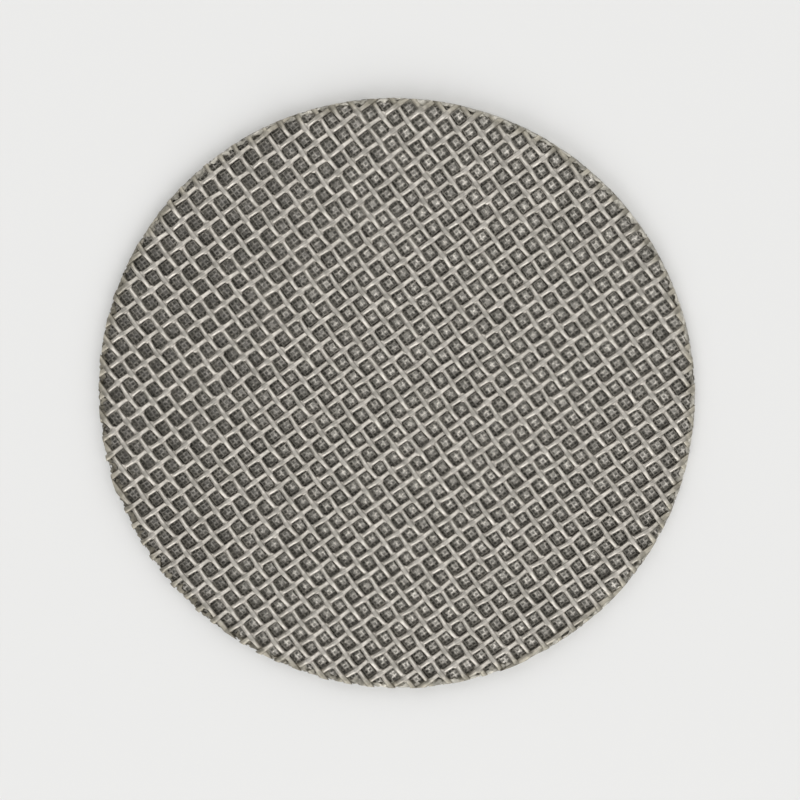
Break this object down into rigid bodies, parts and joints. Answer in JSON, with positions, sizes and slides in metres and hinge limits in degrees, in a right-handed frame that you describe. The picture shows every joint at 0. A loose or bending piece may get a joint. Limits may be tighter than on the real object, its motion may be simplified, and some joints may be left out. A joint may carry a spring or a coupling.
{
  "type": "sintered mesh disc",
  "caption": "Round filter disc of sintered woven wire mesh: a coarse square mesh face fused onto a fine mesh wall.",
  "frame": {"origin": "centre of the flat back face, which rests on the floor", "axes": "+Z is the disc's axis and points out of the coarse mesh face; the finer spaced wire set is square to a line 36.06 degrees from +X"},
  "size_m": [0.0584, 0.0584, 0.0017],
  "materials": {
    "sintered_wire": "dull warm grey stainless wire mesh, fused by sintering"
  },
  "bodies": {
    "root": {"mesh_disc": "sintered_wire"}
  },
  "joints": []
}
